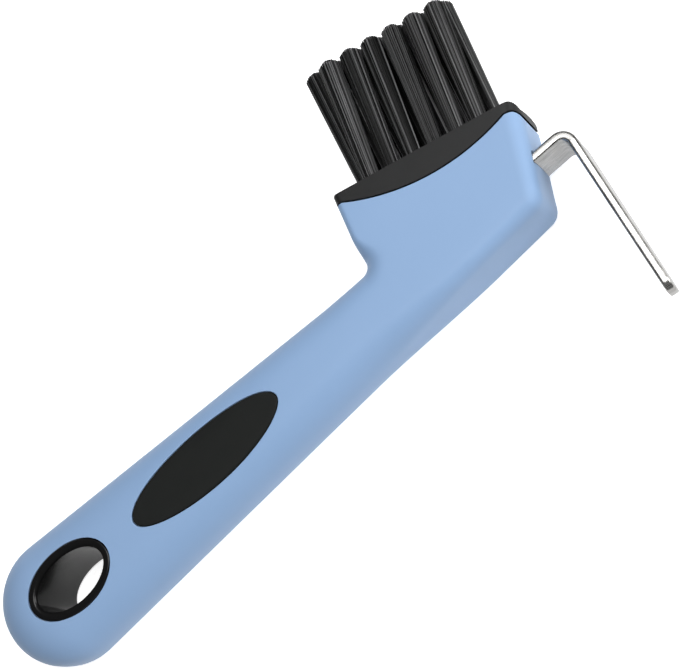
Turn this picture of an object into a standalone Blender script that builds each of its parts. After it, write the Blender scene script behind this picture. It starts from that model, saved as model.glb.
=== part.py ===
"""Hoof pick with a brush: a soft two-colour handle, a bent flat steel pick and a block of nylon tufts.

The object lies on its side. +X runs along the handle from the hanging hole to the pick, +Y points
to the brush side and +Z is up, across the thickness. Every length is in metres.

Side views are worked out in "side" coordinates, whose origin is the middle of the hanging hole,
half-way through the thickness. The finished pieces are then moved so that the origin is the middle
of the bounding box's bottom face.
"""

import math

import bmesh
import bpy
from mathutils import Matrix, Vector

GAP = 0.0003  # between pieces that touch on the real object

# Handle body, side view.
HALF_THICKNESS = 0.0110
TAIL_CENTRE = Vector((-0.0080, 0.0001))
TAIL_RADIUS = 0.0168
TOP_AT_NECK = Vector((0.1075, 0.0111))
BOTTOM_CORNER = Vector((0.1506, -0.0062))
BOTTOM_CORNER_RADIUS = 0.0046
NECK_FILLET = 0.0024
REAR_FLARE = 0.00015  # the head's rear face leans back by this much at the seat
FRONT_LENGTH = 0.0450  # from the bottom corner to the modelled end of the front face
FRONT_LEAN = math.radians(24.0)  # the front face leans forward from the Y direction

# Edge rounding of the body: its reach across the side face and its depth through the thickness.
GRIP_ROUND_REACH = 0.0072
GRIP_ROUND_DEPTH = 0.0104
HEAD_ROUND_REACH = 0.0040
HEAD_ROUND_DEPTH = 0.0050
ROUND_CHANGES_FROM = 0.090
ROUND_CHANGES_TO = 0.132
ROUND_STEPS = 6

# Brush seat: "seat" coordinates run forward along the seat and up along the bristles.
SEAT_REAR = Vector((0.1121, 0.0305))
SEAT_TILT = math.radians(-14.0)
SEAT_LENGTH = 0.0512
HEAD_SPARE = 0.0120  # the body is modelled this much past the seat and cut back to it
PARTING_RADIUS = 0.0577
SEAT_FRONT_END = 0.05092  # where the seat would meet the front face
SEAT_FRONT_ROUND = 0.0021
SEAT_REAR_ROUND = 0.0007
FAR_ALONG = 0.090  # past the body, for cutters
FAR_UP = 0.060
FAR_ACROSS = 0.030
PARTING_MIDDLE = 0.0244
PARTING_DEPTH = 0.0072
PARTING_HALF_GAP = 0.00015
PARTING_STEPS = 30
BAND = 0.0026  # depth of the black band at both ends of the seat
BAND_DROP_FROM = 0.02387  # from the parting's middle to where the band starts round the front corner
BAND_DROP_ROUND = 0.0022
BAND_DROP_TURN = math.radians(75.0)
BAND_DROP_END = 0.003
BAND_DROP_STEPS = 5
ZONE_HALF_LENGTH = 0.032
ZONE_HEIGHT = 0.030
ZONE_HALF_WIDTH = 0.020

# Core: a stiff spine inside the handle that carries the brush block.
SPINE_HALF_THICKNESS = 0.0065
SPINE_INSET = 0.0044
SPINE_START = 0.0175
SPINE_HEAD_TOP = 0.0020  # below the seat
SPINE_FRONT_INSET_SHARE = 1.25  # the spine's front foot is drawn in further than its other corners
SPINE_FOOT = 0.0008
SPINE_HIGH_FRONT_INSET = 0.0030
ROOT_HALF_WIDTH = 0.0093  # the wider part of the core round the feet of the tufts
ROOT_DEPTH = 0.0108
ROOT_INSET = 0.0035
ROOT_FRONT_INSET = 0.0015

# Bristle tufts and the flat wire anchors that hold them.
TUFT_PITCH = 0.00605
TUFTS_MIDDLE = 0.0254  # along the seat
ROW_SPACING = 0.0062
# Each row's name, side, number of tufts, height, and lean at its rear and front ends.
ROWS = (
    ("upper", 1, 6, 0.0348, math.radians(2.6), math.radians(2.6)),
    ("middle", 0, 7, 0.0364, math.radians(-2.0), math.radians(-0.8)),
    ("lower", -1, 6, 0.0348, math.radians(-1.0), math.radians(1.0)),
)
HOLE_RADIUS = 0.0024
HOLE_DEPTH = 0.0090
HOLE_CUT_ABOVE = 0.004  # how far its cutter stands above the seat
TUFT_BASE_RADIUS = 0.0021
TUFT_TOP_RADIUS = 0.0027
ANCHOR_SIZE = Vector((0.0038, 0.0004, 0.0016))
ANCHOR_TURN = math.radians(35.0)
ANCHOR_SLOT_BELOW = 0.001
TUFT_SIDES = 12

# Hanging eyelet, an oval bush.
EYELET_HOLE = Vector((0.0107, 0.0062))
EYELET_WALL = 0.0013
EYELET_FLANGE = 0.0022
FLANGE_DEPTH = 0.0018
LIP_CHAMFER = 0.0005
EYELET_SIDES = 40
EYELET_CUT_REACH = 0.020

# Oval grip pads, one on each side.
PAD_CENTRE = Vector((0.0468, 0.0004))
PAD_SIZE = Vector((0.0242, 0.00705))
PAD_TURN = math.radians(0.8)
PAD_DEPTH = 0.0022
PAD_CHAMFER = 0.0003
PAD_SIDES = 48
PAD_CUT_ABOVE = 0.004

# Steel pick: a flat strip, bent once, with its tang held in the core.
STRIP_THICKNESS = 0.0023
STRIP_WIDTH = 0.0150
TANG_TOP = 0.0059
TANG_START = 0.1270
BLADE_FRONT = 0.1669
BLADE_BEND = math.radians(97.2)
BLADE_LENGTH = 0.0476
BEND_INSIDE_RADIUS = 0.0018
BEND_STEPS = 6
TIP_WIDTH = 0.0078
TIP_ROUND = 0.0030
TIP_SHARES = (1.0, 0.6, 0.25, 0.04)  # of the tip's rounding, from the tip, where its sections stand
STRIP_EDGE = 0.00035
SLOT_REACH = 0.004  # how far the tang's slot reaches past the blade
KEY_HOLE_RADIUS = 0.0030
KEY_HOLE_X = 0.1360
KEY_HOLE_SIDES = 20

MATERIALS = {
    "soft_blue": ((0.30, 0.46, 0.75, 1.0), 0.55, 0.0),
    "core_black": ((0.020, 0.021, 0.022, 1.0), 0.40, 0.0),
    "pad_black": ((0.017, 0.019, 0.018, 1.0), 0.75, 0.0),
    "eyelet_black": ((0.012, 0.012, 0.013, 1.0), 0.25, 0.0),
    "nylon_black": ((0.015, 0.015, 0.016, 1.0), 0.35, 0.0),
    "pick_steel": ((0.70, 0.69, 0.67, 1.0), 0.25, 1.0),
    "anchor_brass": ((0.72, 0.58, 0.33, 1.0), 0.35, 1.0),
}


def direction(angle):
    return Vector((math.cos(angle), math.sin(angle)))


def from_seat(along, up):
    """Side coordinates of a point given along the brush seat and up from it."""
    return SEAT_REAR + direction(SEAT_TILT) * along + direction(SEAT_TILT + math.pi / 2) * up


def smooth_step(value, low, high):
    t = min(max((value - low) / (high - low), 0.0), 1.0)
    return t * t * (3 - 2 * t)


def material(name):
    found = bpy.data.materials.get(name)
    if found:
        return found
    color, roughness, metallic = MATERIALS[name]
    found = bpy.data.materials.new(name)
    found.use_nodes = True
    shader = found.node_tree.nodes["Principled BSDF"]
    shader.inputs["Base Color"].default_value = color
    shader.inputs["Roughness"].default_value = roughness
    shader.inputs["Metallic"].default_value = metallic
    return found


def add_object(name, mesh, material_name):
    mesh.materials.append(material(material_name))
    piece = bpy.data.objects.new(name, mesh)
    bpy.context.scene.collection.objects.link(piece)
    return piece


def add_copy(name, mesh, place):
    piece = bpy.data.objects.new(name, mesh)
    piece.matrix_world = place
    bpy.context.scene.collection.objects.link(piece)


def mesh_from(name, bm):
    bmesh.ops.recalc_face_normals(bm, faces=bm.faces)
    mesh = bpy.data.meshes.new(name)
    bm.to_mesh(mesh)
    bm.free()
    return mesh


def loft(name, rings, close_ends=True):
    """A mesh through rings of points with equal counts: capped at both ends, or joined end to end."""
    bm = bmesh.new()
    rows = [[bm.verts.new(point) for point in ring] for ring in rings]
    count = len(rows[0])
    pairs = list(zip(rows, rows[1:]))
    if close_ends:
        bm.faces.new(rows[0])
        bm.faces.new(rows[-1])
    else:
        pairs.append((rows[-1], rows[0]))
    for low, high in pairs:
        for i in range(count):
            j = (i + 1) % count
            bm.faces.new((low[i], low[j], high[j], high[i]))
    return mesh_from(name, bm)


def prism(name, outline, low, high):
    """A solid with this side-view outline, from one height to another."""
    return loft(name, [[(p.x, p.y, z) for p in outline] for z in (low, high)])


def cutter(name, mesh):
    helper = bpy.data.objects.new(name, mesh)
    bpy.context.scene.collection.objects.link(helper)
    helper.hide_render = True
    helper.display_type = "WIRE"
    return helper


def combine(piece, helper, operation):
    step = piece.modifiers.new(helper.name, "BOOLEAN")
    step.operation = operation
    step.object = helper
    step.solver = "EXACT"


def settle(piece):
    """Applies the modifiers, so that later pieces can be cut from the result."""
    graph = bpy.context.evaluated_depsgraph_get()
    finished = bpy.data.meshes.new_from_object(piece.evaluated_get(graph))
    piece.modifiers.clear()
    piece.data = finished


def smooth(piece, degrees):
    piece.data.shade_smooth()
    piece.data.set_sharp_from_angle(angle=math.radians(degrees))


def arc(centre, radius, start, end, steps):
    return [centre + direction(start + (end - start) * i / steps) * radius for i in range(steps + 1)]


def rounded_corner(before, corner, after, radius, steps):
    """The arc that rounds a corner between two straight sides."""
    back = (before - corner).normalized()
    on = (after - corner).normalized()
    half = back.angle(on) / 2
    middle = corner + (back + on).normalized() * (radius / math.sin(half))
    first = corner + back * (radius / math.tan(half)) - middle
    last = corner + on * (radius / math.tan(half)) - middle
    turn = first.angle_signed(last)
    start = math.atan2(first.y, first.x)
    return arc(middle, radius, start, start - turn, steps)


def straight(start, end, steps):
    """The inner points of a straight side, ends left out."""
    return [start.lerp(end, i / steps) for i in range(1, steps)]


def tangent_angle(outside, side):
    """The angle on the tail's circle where a straight line to an outside point touches it."""
    away = outside - TAIL_CENTRE
    return math.atan2(away.y, away.x) + side * math.acos(TAIL_RADIUS / away.length)


def body_corners():
    """The corners of the handle and head, from the neck forward round to the bottom."""
    front_top = BOTTOM_CORNER + direction(math.pi / 2 - FRONT_LEAN) * FRONT_LENGTH
    rise = (TOP_AT_NECK.y - SEAT_REAR.y) / math.cos(SEAT_TILT)
    flare = REAR_FLARE * (1 - HEAD_SPARE / rise)
    return from_seat(0, rise), from_seat(-flare, HEAD_SPARE), front_top, BOTTOM_CORNER


def body_outline():
    """The side view of the whole body, anticlockwise from the tail's lower side."""
    neck, rear_top, front_top, bottom = body_corners()
    top_touch = tangent_angle(neck, 1)
    low_touch = tangent_angle(bottom, -1)
    tail_top = TAIL_CENTRE + direction(top_touch) * TAIL_RADIUS
    tail_low = TAIL_CENTRE + direction(low_touch) * TAIL_RADIUS
    front_corner = rounded_corner(tail_low, bottom, front_top, BOTTOM_CORNER_RADIUS, 6)
    front_shoulder = rounded_corner(bottom, front_top, rear_top, BOTTOM_CORNER_RADIUS, 3)
    rear_shoulder = rounded_corner(front_top, rear_top, neck, BOTTOM_CORNER_RADIUS, 3)
    neck_fillet = rounded_corner(rear_top, neck, tail_top, NECK_FILLET, 6)
    tail = arc(TAIL_CENTRE, TAIL_RADIUS, top_touch, low_touch + 2 * math.pi, 24)
    points = straight(tail_low, front_corner[0], 16) + front_corner
    points += straight(front_corner[-1], front_shoulder[0], 4) + front_shoulder
    points += rear_shoulder + straight(rear_shoulder[-1], neck_fillet[0], 4) + neck_fillet
    points += straight(neck_fillet[-1], tail_top, 10) + tail
    return points


def inward_normals(outline):
    count = len(outline)
    normals = []
    for i in range(count):
        along = (outline[(i + 1) % count] - outline[i - 1]).normalized()
        normals.append(Vector((-along.y, along.x)))
    return normals


def make_body_form():
    """The outer form of the moulded body, past the seat, as one solid."""
    outline = body_outline()
    normals = inward_normals(outline)
    reach, depth = [], []
    for point in outline:
        t = smooth_step(point.x, ROUND_CHANGES_FROM, ROUND_CHANGES_TO)
        reach.append(GRIP_ROUND_REACH + (HEAD_ROUND_REACH - GRIP_ROUND_REACH) * t)
        depth.append(GRIP_ROUND_DEPTH + (HEAD_ROUND_DEPTH - GRIP_ROUND_DEPTH) * t)
    rings = []
    for step in range(-ROUND_STEPS, ROUND_STEPS + 1):
        turn = math.pi / 2 * step / ROUND_STEPS
        for side in (-1, 1) if step == 0 else (math.copysign(1, step),):
            ring = []
            for p, n, a, b in zip(outline, normals, reach, depth):
                flat = p + n * (a * (1 - math.cos(turn)))
                ring.append((flat.x, flat.y, side * (HALF_THICKNESS - b) + b * math.sin(turn)))
            rings.append(ring)
    return loft("body_form", rings)


def above_seat():
    """Everything above the brush seat, with both of its ends eased."""
    rear_corner, front_corner = from_seat(0, 0), from_seat(SEAT_FRONT_END, 0)
    front_foot = front_corner - direction(math.pi / 2 - FRONT_LEAN)
    rear = rounded_corner(from_seat(0, -1), rear_corner, front_corner, SEAT_REAR_ROUND, 3)
    front = rounded_corner(rear_corner, front_corner, front_foot, SEAT_FRONT_ROUND, 6)
    outline = [from_seat(-FAR_ALONG, -SEAT_REAR_ROUND)] + rear + front
    outline.append(front[-1] + direction(SEAT_TILT) * FAR_ALONG)
    outline += [from_seat(FAR_ALONG, FAR_UP), from_seat(-FAR_ALONG, FAR_UP)]
    return prism("above_seat", outline, -FAR_ACROSS, FAR_ACROSS)


def brush_zone(grow):
    """Everything above the parting surface between the soft handle and the brush block.

    The surface is an arc, clipped to a band of even depth at both ends of the seat. At the front the
    band thins as it goes round the corner.
    """
    radius = PARTING_RADIUS + grow
    centre_up = PARTING_RADIUS - PARTING_DEPTH
    band = BAND + grow
    half = math.acos((centre_up + band) / radius)
    corners = [(-ZONE_HALF_LENGTH, -band)]
    for i in range(PARTING_STEPS + 1):
        turn = half * (2 * i / PARTING_STEPS - 1)
        corners.append((radius * math.sin(turn), centre_up - radius * math.cos(turn)))
    drop = BAND_DROP_ROUND - grow
    drop_centre_up = -BAND - BAND_DROP_ROUND
    for i in range(BAND_DROP_STEPS + 1):
        turn = BAND_DROP_TURN * i / BAND_DROP_STEPS
        corners.append((BAND_DROP_FROM + drop * math.sin(turn), drop_centre_up + drop * math.cos(turn)))
    along, up = corners[-1]
    end_up = up - BAND_DROP_END * math.sin(BAND_DROP_TURN)
    corners += [(along + BAND_DROP_END * math.cos(BAND_DROP_TURN), end_up), (ZONE_HALF_LENGTH, end_up),
                (ZONE_HALF_LENGTH, ZONE_HEIGHT), (-ZONE_HALF_LENGTH, ZONE_HEIGHT)]
    outline = [from_seat(PARTING_MIDDLE + along, up) for along, up in corners]
    return prism("brush_zone", outline, -ZONE_HALF_WIDTH, ZONE_HALF_WIDTH)


def spine_outline(grow):
    """The side view of the spine: the body's own corners, drawn in by the inset."""
    inset = SPINE_INSET - grow
    neck, _, _, bottom = body_corners()
    head_top = -SPINE_HEAD_TOP + grow
    slope = (bottom - TAIL_CENTRE + Vector((0, TAIL_RADIUS))).normalized()
    low_front = bottom + Vector((-inset * SPINE_FRONT_INSET_SHARE, inset))
    start = SPINE_START - grow
    low_start = low_front - slope * ((low_front.x - start) / slope.x)
    high_front = from_seat(SEAT_LENGTH - inset - SPINE_HIGH_FRONT_INSET, head_top)
    front_foot = low_front + Vector((SPINE_FOOT * math.tan(FRONT_LEAN), SPINE_FOOT))
    neck_inside = neck + Vector((inset, -inset))
    high_rear = from_seat(inset, head_top)
    rise = (TAIL_RADIUS - (neck.y - TAIL_CENTRE.y)) / (neck.x - TAIL_CENTRE.x)
    high_start = neck_inside + Vector((-1, rise)) * (neck_inside.x - start)
    return [low_start, low_front, front_foot, high_front, high_rear, neck_inside, high_start]


def spine(grow):
    half = SPINE_HALF_THICKNESS + grow
    return prism("spine", spine_outline(grow), -half, half)


def root(grow):
    """The block round the tufts' feet, hidden under the soft sides of the head."""
    rear, front = ROOT_INSET - grow, SEAT_LENGTH - ROOT_INSET - ROOT_FRONT_INSET + grow
    low, high = -ROOT_DEPTH - grow, -SPINE_HEAD_TOP + grow
    outline = [from_seat(*corner) for corner in ((rear, low), (front, low), (front, high), (rear, high))]
    return prism("root", outline, -ROOT_HALF_WIDTH - grow, ROOT_HALF_WIDTH + grow)


def oval_ring(size, z, sides, centre=Vector((0, 0)), turn=0.0):
    ring = []
    for i in range(sides):
        angle = 2 * math.pi * i / sides
        x, y = size.x * math.cos(angle), size.y * math.sin(angle)
        ring.append((centre.x + x * math.cos(turn) - y * math.sin(turn),
                     centre.y + x * math.sin(turn) + y * math.cos(turn), z))
    return ring


def grown(size, amount):
    return Vector((size.x + amount, size.y + amount))


def eyelet_profile(grow):
    """The eyelet's outer steps, bottom to top, as (distance out from the hole, height)."""
    top = HALF_THICKNESS
    step = top - FLANGE_DEPTH - grow
    wall, flange = EYELET_WALL + grow, EYELET_FLANGE + grow
    return [(flange, -top), (flange, -step), (wall, -step), (wall, step), (flange, step), (flange, top)]


def make_eyelet():
    outer = [oval_ring(grown(EYELET_HOLE, out), z, EYELET_SIDES) for out, z in eyelet_profile(0)]
    lips = [(LIP_CHAMFER, HALF_THICKNESS), (0, HALF_THICKNESS - LIP_CHAMFER * 2)]
    inner = [oval_ring(grown(EYELET_HOLE, out), z, EYELET_SIDES) for out, z in lips]
    inner += [oval_ring(grown(EYELET_HOLE, out), -z, EYELET_SIDES) for out, z in reversed(lips)]
    piece = add_object("hang_eyelet", loft("hang_eyelet", outer + inner, False), "eyelet_black")
    smooth(piece, 30)


def eyelet_cutter():
    rings = [oval_ring(grown(EYELET_HOLE, out), z, EYELET_SIDES) for out, z in eyelet_profile(GAP)]
    low = [(x, y, -EYELET_CUT_REACH) for x, y, _ in rings[0]]
    high = [(x, y, EYELET_CUT_REACH) for x, y, _ in rings[-1]]
    return cutter("eyelet_space", loft("eyelet_space", [low] + rings[1:-1] + [high]))


def pad_rings(side, grow, past):
    """Rings of a pad from its back to its face."""
    bottom, face = HALF_THICKNESS - PAD_DEPTH - grow, HALF_THICKNESS + past
    size = grown(PAD_SIZE, grow)
    steps = [(size, bottom), (size, face - PAD_CHAMFER), (grown(size, -PAD_CHAMFER), face)]
    return [oval_ring(s, side * z, PAD_SIDES, PAD_CENTRE, PAD_TURN) for s, z in steps]


def make_pads():
    for name, side in (("grip_pad_upper", 1), ("grip_pad_lower", -1)):
        piece = add_object(name, loft(name, pad_rings(side, 0, 0)), "pad_black")
        smooth(piece, 30)


def pad_cutter(side):
    return cutter("pad_space", loft("pad_space", pad_rings(side, GAP, PAD_CUT_ABOVE)))


def strip_path():
    """The strip's middle line as (point, direction), from its buried end round the bend, and its tip."""
    middle = STRIP_THICKNESS / 2
    radius = BEND_INSIDE_RADIUS + middle
    leg = radius * math.tan(BLADE_BEND / 2)
    lean = math.tan(BLADE_BEND - math.pi / 2)
    down = direction(-BLADE_BEND)
    corner = Vector((BLADE_FRONT - middle * (1 + lean), TANG_TOP - middle))
    start = Vector((TANG_START, corner.y))
    centre = corner + Vector((-leg, -radius))
    stations = [(start, Vector((1, 0)))]
    for i in range(BEND_STEPS + 1):
        angle = math.pi / 2 - BLADE_BEND * i / BEND_STEPS
        stations.append((centre + direction(angle) * radius, direction(angle - math.pi / 2)))
    return stations, corner + down * (BLADE_LENGTH - middle)


def strip_half_width(distance, total):
    """Half the width at a distance before the tip: full at the bend, narrow and rounded at the tip."""
    blade = min(1.0, distance / total)
    half = (TIP_WIDTH + (STRIP_WIDTH - TIP_WIDTH) * blade) / 2
    if distance < TIP_ROUND:
        cut = TIP_ROUND - distance
        half -= TIP_ROUND - math.sqrt(max(TIP_ROUND ** 2 - cut ** 2, 0.0))
    return half


def make_pick():
    stations, tip = strip_path()
    bend_end, down = stations[-1]
    blade = (tip - bend_end).length
    places = [(point, along, STRIP_WIDTH / 2) for point, along in stations]
    for distance in [blade / 2] + [TIP_ROUND * share for share in TIP_SHARES]:
        places.append((tip - down * distance, down, strip_half_width(distance, blade)))
    rings = []
    for point, along, half in places:
        side = Vector((-along.y, along.x)) * (STRIP_THICKNESS / 2 - STRIP_EDGE)
        edge = Vector((-along.y, along.x)) * (STRIP_THICKNESS / 2)
        low, high, low_edge, high_edge = point - side, point + side, point - edge, point + edge
        flat = half - STRIP_EDGE
        rings.append([(low.x, low.y, half), (low_edge.x, low_edge.y, flat),
                      (low_edge.x, low_edge.y, -flat), (low.x, low.y, -half),
                      (high.x, high.y, -half), (high_edge.x, high_edge.y, -flat),
                      (high_edge.x, high_edge.y, flat), (high.x, high.y, half)])
    piece = add_object("steel_pick", loft("steel_pick", rings), "pick_steel")
    combine(piece, key_hole_cutter(KEY_HOLE_RADIUS), "DIFFERENCE")
    settle(piece)
    smooth(piece, 25)


def key_hole_cutter(radius):
    """A pin across the tang, where the core's plastic keys through the steel."""
    bm = bmesh.new()
    place = Matrix.Translation((KEY_HOLE_X, TANG_TOP - STRIP_THICKNESS / 2, 0))
    place = place @ Matrix.Rotation(math.pi / 2, 4, "X")
    bmesh.ops.create_cone(bm, cap_ends=True, segments=KEY_HOLE_SIDES, radius1=radius, radius2=radius,
                          depth=STRIP_THICKNESS * 4, matrix=place)
    return cutter("key_hole", mesh_from("key_hole", bm))


def tang_slot(grow):
    """The space that the tang takes in the core and the handle."""
    half = STRIP_WIDTH / 2 + grow
    corners = [Vector((TANG_START - grow, TANG_TOP - STRIP_THICKNESS - grow)),
               Vector((BLADE_FRONT + SLOT_REACH, TANG_TOP - STRIP_THICKNESS - grow)),
               Vector((BLADE_FRONT + SLOT_REACH, TANG_TOP + grow)),
               Vector((TANG_START - grow, TANG_TOP + grow))]
    return cutter("tang_slot", prism("tang_slot", corners, -half, half))


def tuft_places(row):
    """(number, matrix) of each tuft in a row: Z up its bristles, with its root on the seat."""
    _, side, count, _, rear_lean, front_lean = row
    for i in range(count):
        along = TUFTS_MIDDLE + TUFT_PITCH * (i - (count - 1) / 2)
        lean = rear_lean + (front_lean - rear_lean) * i / (count - 1)
        yield i + 1, seat_frame(along, side * ROW_SPACING, lean)


def seat_frame(along, z, lean):
    """The matrix of a tuft's own axes: X forward along the seat, Z up the bristles."""
    foot = from_seat(along, 0)
    forward, up = direction(SEAT_TILT), direction(SEAT_TILT + math.pi / 2)
    turn = Matrix(((forward.x, 0, up.x), (forward.y, 0, up.y), (0, -1, 0))).to_4x4()
    return Matrix.Translation((foot.x, foot.y, z)) @ turn @ Matrix.Rotation(lean, 4, "Y")


def tuft_ring(radius, z):
    return [(radius * math.cos(math.tau * i / TUFT_SIDES), radius * math.sin(math.tau * i / TUFT_SIDES), z)
            for i in range(TUFT_SIDES)]


def anchor_block(name, grow, low):
    """A flat wire anchor, standing on its edge at the bottom of a hole."""
    size = ANCHOR_SIZE * 0.5 + Vector((grow, grow, 0))
    top = -HOLE_DEPTH + GAP + ANCHOR_SIZE.z + grow
    corners = [(-size.x, -size.y), (size.x, -size.y), (size.x, size.y), (-size.x, size.y)]
    mesh = loft(name, [[(x, y, z) for x, y in corners] for z in (low, top)])
    mesh.transform(Matrix.Rotation(ANCHOR_TURN, 4, "Z"))
    return mesh


def make_tufts():
    """Each tuft is folded over its own anchor, so its foot has a slot across it."""
    foot = -HOLE_DEPTH + GAP
    slot = cutter("anchor_slot", anchor_block("anchor_slot", GAP, foot - ANCHOR_SLOT_BELOW))
    slot.data.transform(Matrix.Scale(2, 4, direction(ANCHOR_TURN).to_3d()))
    for row in ROWS:
        name, _, _, height, _, _ = row
        rings = [tuft_ring(TUFT_BASE_RADIUS, foot), tuft_ring(TUFT_BASE_RADIUS, 0),
                 tuft_ring(TUFT_TOP_RADIUS, height)]
        pattern = add_object("tuft_pattern", loft("tuft", rings), "nylon_black")
        combine(pattern, slot, "DIFFERENCE")
        settle(pattern)
        smooth(pattern, 35)
        shape = pattern.data
        bpy.data.objects.remove(pattern)
        for number, place in tuft_places(row):
            add_copy(f"tuft_{name}_{number}", shape, place)


def make_anchors():
    mesh = anchor_block("anchor", 0, -HOLE_DEPTH + GAP)
    mesh.materials.append(material("anchor_brass"))
    for row in ROWS:
        for number, place in tuft_places(row):
            add_copy(f"anchor_{row[0]}_{number}", mesh, place)


def tuft_holes():
    """A cutter for each blind hole in the brush block."""
    for row in ROWS:
        for _, place in tuft_places(row):
            mesh = loft("tuft_hole", [tuft_ring(HOLE_RADIUS, z) for z in (-HOLE_DEPTH, HOLE_CUT_ABOVE)])
            mesh.transform(place)
            yield cutter("tuft_hole", mesh)


def make_core():
    """The stiff core: the brush block that shows above the parting line, and the spine below it."""
    core = add_object("brush_core", make_body_form(), "core_black")
    combine(core, cutter("above_seat", above_seat()), "DIFFERENCE")
    combine(core, cutter("block_zone", brush_zone(-PARTING_HALF_GAP)), "INTERSECT")
    combine(core, cutter("spine_body", spine(0)), "UNION")
    combine(core, cutter("root_body", root(0)), "UNION")
    slot = tang_slot(GAP)
    combine(slot, key_hole_cutter(KEY_HOLE_RADIUS - GAP), "DIFFERENCE")
    combine(core, slot, "DIFFERENCE")
    for hole in tuft_holes():
        combine(core, hole, "DIFFERENCE")
    settle(core)
    smooth(core, 30)


def make_handle():
    """The soft body moulded round the core, the eyelet and the pick."""
    handle = add_object("soft_handle", make_body_form(), "soft_blue")
    combine(handle, cutter("above_parting", brush_zone(PARTING_HALF_GAP)), "DIFFERENCE")
    combine(handle, cutter("spine_space", spine(GAP)), "DIFFERENCE")
    combine(handle, cutter("root_space", root(GAP)), "DIFFERENCE")
    combine(handle, tang_slot(GAP), "DIFFERENCE")
    combine(handle, eyelet_cutter(), "DIFFERENCE")
    for side in (1, -1):
        combine(handle, pad_cutter(side), "DIFFERENCE")
    settle(handle)
    smooth(handle, 30)


def stand_on_origin():
    """Moves every piece so that the origin is the middle of the bounding box's bottom face."""
    bpy.context.view_layer.update()
    pieces = [piece for piece in bpy.data.objects if not piece.hide_render]
    corners = [piece.matrix_world @ Vector(corner) for piece in pieces for corner in piece.bound_box]
    low = Vector(min(corner[i] for corner in corners) for i in range(3))
    high = Vector(max(corner[i] for corner in corners) for i in range(3))
    shift = Matrix.Translation((-(low.x + high.x) / 2, -(low.y + high.y) / 2, -low.z))
    for item in bpy.data.objects:
        item.matrix_world = shift @ item.matrix_world


def main():
    for item in list(bpy.data.objects):
        bpy.data.objects.remove(item)
    make_handle()
    make_core()
    make_eyelet()
    make_pads()
    make_pick()
    make_tufts()
    make_anchors()
    stand_on_origin()


main()
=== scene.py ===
"""Studio scene of a hoof pick: a soft handle with a black brush block, a bent steel pick and tufts.

The shapes are worked out in "side" coordinates: X forward along the handle, Y towards the brush and
Z up through the thickness, from the middle of the hanging hole at half thickness. Each finished mesh
is then placed in the frame. Every length is in metres and every angle in radians.
"""

import logging
import math
from collections.abc import Iterator, Sequence
from dataclasses import dataclass, field
from enum import Enum

import bmesh
import bpy
from mathutils import Matrix, Vector
from mathutils.bvhtree import BVHTree


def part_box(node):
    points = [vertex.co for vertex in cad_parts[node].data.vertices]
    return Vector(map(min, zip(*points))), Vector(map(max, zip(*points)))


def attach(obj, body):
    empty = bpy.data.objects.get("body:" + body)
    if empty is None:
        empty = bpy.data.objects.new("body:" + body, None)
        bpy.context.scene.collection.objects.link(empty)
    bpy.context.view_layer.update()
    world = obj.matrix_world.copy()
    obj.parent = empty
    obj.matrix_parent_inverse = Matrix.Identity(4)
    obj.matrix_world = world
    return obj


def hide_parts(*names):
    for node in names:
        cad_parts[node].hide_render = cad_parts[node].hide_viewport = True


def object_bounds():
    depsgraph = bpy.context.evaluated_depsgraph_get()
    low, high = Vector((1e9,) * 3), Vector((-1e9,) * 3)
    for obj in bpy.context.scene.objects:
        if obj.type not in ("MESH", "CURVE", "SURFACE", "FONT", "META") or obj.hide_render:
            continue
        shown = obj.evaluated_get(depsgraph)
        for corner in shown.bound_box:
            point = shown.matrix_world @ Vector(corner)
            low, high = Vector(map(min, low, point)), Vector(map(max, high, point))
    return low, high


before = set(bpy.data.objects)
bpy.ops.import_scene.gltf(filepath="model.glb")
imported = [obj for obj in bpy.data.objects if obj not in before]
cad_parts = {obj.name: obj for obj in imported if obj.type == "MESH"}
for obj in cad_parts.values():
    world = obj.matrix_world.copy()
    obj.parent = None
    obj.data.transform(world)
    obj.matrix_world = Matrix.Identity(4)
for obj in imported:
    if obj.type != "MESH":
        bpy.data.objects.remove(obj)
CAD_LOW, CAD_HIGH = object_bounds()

LOG = logging.getLogger("hoof_pick")
BODY = "root"

# The gap between pieces that touch.
GAP = 0.0003

# How far cutters reach up and down from the middle of the tool, past both of its faces.
PAST = 0.020

# The values between which almost all of a noise pattern lies.
NOISE_LOW, NOISE_HIGH = 0.3, 0.7

Pair = tuple[float, float]
Colour = tuple[float, float, float]


class Ends(Enum):
    """How a loft finishes its first and last rings."""

    CAPPED = "capped"
    JOINED = "joined"


class Face(Enum):
    """The two flat sides of the tool, by the sign of their height."""

    UPPER = 1
    LOWER = -1


class Operation(Enum):
    """What a second shape does to the first."""

    CUT = "DIFFERENCE"
    KEEP = "INTERSECT"
    JOIN = "UNION"


# ---------------------------------------------------------------------------------------------
# Plane geometry
# ---------------------------------------------------------------------------------------------


def heading(angle: float) -> Vector:
    """The unit vector at an angle in the side plane."""
    return Vector((math.cos(angle), math.sin(angle)))


def smooth_step(value: float, low: float, high: float) -> float:
    """Rises smoothly from 0 to 1.

    Args:
        value: where the step is read.
        low: where it leaves 0.
        high: where it reaches 1.

    Returns:
        The height of the step.
    """
    t = min(max((value - low) / (high - low), 0.0), 1.0)
    return t * t * (3 - 2 * t)


def arc(centre: Vector, radius: float, start: float, end: float, steps: int) -> list[Vector]:
    """Points on a circular arc, both ends included.

    Args:
        centre: the middle of the circle.
        radius: its radius.
        start: the angle of the first point.
        end: the angle of the last point.
        steps: the number of chords.

    Returns:
        The points in order.
    """
    return [centre + heading(start + (end - start) * i / steps) * radius for i in range(steps + 1)]


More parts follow.
